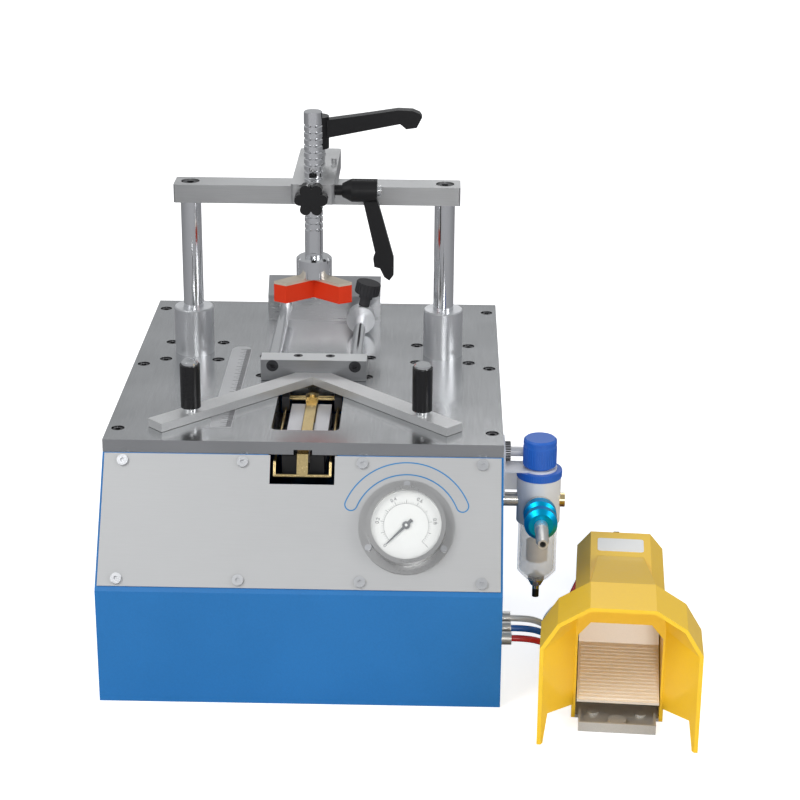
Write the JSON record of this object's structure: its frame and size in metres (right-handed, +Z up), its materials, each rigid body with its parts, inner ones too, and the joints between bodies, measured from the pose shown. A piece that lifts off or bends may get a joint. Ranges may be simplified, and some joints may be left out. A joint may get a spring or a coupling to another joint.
{
  "type": "pneumatic picture frame nailing machine",
  "caption": "Bench machine that presses a mitred picture frame corner against a V fence and drives nails from below, with filter regulator, gauge and foot valve.",
  "frame": {"origin": "centre of the cabinet's footprint, on the floor", "axes": "+X to the machine's right, towards the regulator; +Y to the back; +Z up"},
  "size_m": [0.5324, 0.5488, 0.483],
  "materials": {
    "blue_paint": "powder coat, satin",
    "stainless": "brushed",
    "polished_steel": "polished, reflective",
    "zinc_steel": "bright zinc",
    "chrome": "mirror",
    "aluminium": "turned",
    "black_plastic": "matte",
    "red_rubber": "matte",
    "gold_steel": "yellow passivated",
    "dial_white": "matte",
    "clear": "clear",
    "light_grey": "satin",
    "blue_plastic": "satin",
    "blue_anodised": "anodised, bright",
    "nickel": "nickel plated",
    "white_tube": "translucent",
    "blue_tube": "gloss",
    "red_tube": "gloss",
    "beige_filter": "sintered",
    "yellow_paint": "gloss enamel"
  },
  "bodies": {
    "machine": {"cabinet_shell": "blue_paint", "base_cover": "zinc_steel", "front_panel": "stainless", "panel_screws": "zinc_steel", "top_plate": "polished_steel", "plate_screws": "zinc_steel", "ruler_inset": "stainless", "guide_bosses": "aluminium", "rear_stop_plate": "stainless", "press_cylinders": "aluminium", "driver_cylinder": "aluminium", "magazine_body": "light_grey", "gauge_case": "black_plastic", "gauge_dial": "dial_white", "gauge_glass": "clear", "regulator_body": "light_grey", "regulator_bracket": "light_grey", "regulator_ring_nut": "blue_plastic", "regulator_bowl": "clear", "filter_element": "beige_filter", "regulator_fittings": "nickel", "hose_barb": "nickel", "white_tube": "white_tube", "white_tube_coil": "white_tube", "blue_tube": "blue_tube", "blue_tube_coil": "blue_tube", "red_tube": "red_tube", "red_tube_coil": "red_tube", "coil_tie": "black_plastic", "tube_fittings": "nickel", "foot_base": "zinc_steel", "foot_guard": "yellow_paint", "foot_valve_body": "aluminium", "pedal_pivot": "zinc_steel"},
    "press_frame": {"crossbar": "polished_steel", "press_columns": "chrome", "crossbar_screws": "zinc_steel"},
    "clamp_arm_body": {"clamp_arm": "polished_steel"},
    "arm_lever_body": {"arm_lever": "black_plastic"},
    "press_ram": {"press_rod": "chrome", "rod_cup": "chrome", "press_pad": "red_rubber"},
    "star_knob_body": {"star_knob": "black_plastic"},
    "rod_lever_body": {"rod_lever": "black_plastic"},
    "fence": {"fence_bars": "polished_steel", "fence_block": "black_plastic", "fence_screws": "zinc_steel", "guide_rods": "chrome", "rod_collar": "zinc_steel"},
    "collar_knob_body": {"collar_knob": "black_plastic"},
    "left_handle_body": {"left_handle": "black_plastic"},
    "right_handle_body": {"right_handle": "black_plastic"},
    "pusher": {"nail_pusher": "gold_steel", "pusher_handle": "gold_steel", "pusher_sockets": "black_plastic"},
    "driver": {"driver_ram": "zinc_steel"},
    "pointer": {"gauge_pointer": "black_plastic"},
    "regulator_knob_body": {"regulator_knob": "blue_plastic"},
    "sleeve": {"valve_sleeve": "blue_anodised"},
    "pedal": {"foot_pedal": "zinc_steel"}
  },
  "joints": [
    {"name": "press_stroke", "type": "slide", "parent": "machine", "child": "press_frame", "axis": [0, 0, -1], "range_m": [0, 0.04]},
    {"name": "arm_slide", "type": "slide", "parent": "press_frame", "child": "clamp_arm_body", "axis": [0, -1, 0], "range_m": [-0.018, 0.034]},
    {"name": "arm_lever_turn", "type": "hinge", "parent": "press_frame", "child": "arm_lever_body", "pos_m": [0, 0.0791, 0.42], "axis": [0, 0, 1], "range_deg": [-30, 150]},
    {"name": "rod_slide", "type": "slide", "parent": "clamp_arm_body", "child": "press_ram", "axis": [0, 0, -1], "range_m": [-0.04, 0.016]},
    {"name": "star_knob_turn", "type": "hinge", "parent": "clamp_arm_body", "child": "star_knob_body", "pos_m": [0, -0.0125, 0.4079], "axis": [0, -1, 0], "continuous": true},
    {"name": "rod_lever_turn", "type": "hinge", "parent": "clamp_arm_body", "child": "rod_lever_body", "pos_m": [0.04, 0.0195, 0.4067], "axis": [-1, 0, 0], "range_deg": [-10, 120]},
    {"name": "fence_slide", "type": "slide", "parent": "machine", "child": "fence", "axis": [0, 1, 0], "range_m": [-0.025, 0.03]},
    {"name": "collar_knob_turn", "type": "hinge", "parent": "fence", "child": "collar_knob_body", "pos_m": [0.04599, 0.1408, 0.26744], "axis": [0.2079, 0, 0.9781], "continuous": true},
    {"name": "left_handle_turn", "type": "hinge", "parent": "fence", "child": "left_handle_body", "pos_m": [-0.106, -0.1095, 0.25], "axis": [0, 0, 1], "continuous": true},
    {"name": "right_handle_turn", "type": "hinge", "parent": "fence", "child": "right_handle_body", "pos_m": [0.106, -0.1095, 0.25], "axis": [0, 0, 1], "continuous": true},
    {"name": "nail_pusher_slide", "type": "slide", "parent": "machine", "child": "pusher", "axis": [0, -1, 0], "range_m": [0, 0.09], "stiffness_N_per_m": 30, "springref_m": -0.03},
    {"name": "driver_stroke", "type": "slide", "parent": "machine", "child": "driver", "axis": [0, 0, 1], "range_m": [0, 0.018]},
    {"name": "gauge_pointer_turn", "type": "hinge", "parent": "machine", "child": "pointer", "pos_m": [0.094, -0.20999, 0.16498], "axis": [0, 0.8057, -0.5924], "range_deg": [0, 270]},
    {"name": "regulator_knob_turn", "type": "hinge", "parent": "machine", "child": "regulator_knob_body", "pos_m": [0.214, -0.1275, 0.2], "axis": [0, 0, 1], "continuous": true},
    {"name": "valve_sleeve_slide", "type": "slide", "parent": "machine", "child": "sleeve", "axis": [0, -1, 0], "range_m": [0, 0.008]},
    {"name": "foot_pedal_turn", "type": "hinge", "parent": "machine", "child": "pedal", "pos_m": [0.28864, -0.17582, 0.03], "axis": [0.9976, -0.0698, 0], "range_deg": [0, 7], "stiffness_Nm_per_rad": 4, "springref_deg": -8.02}
  ]
}
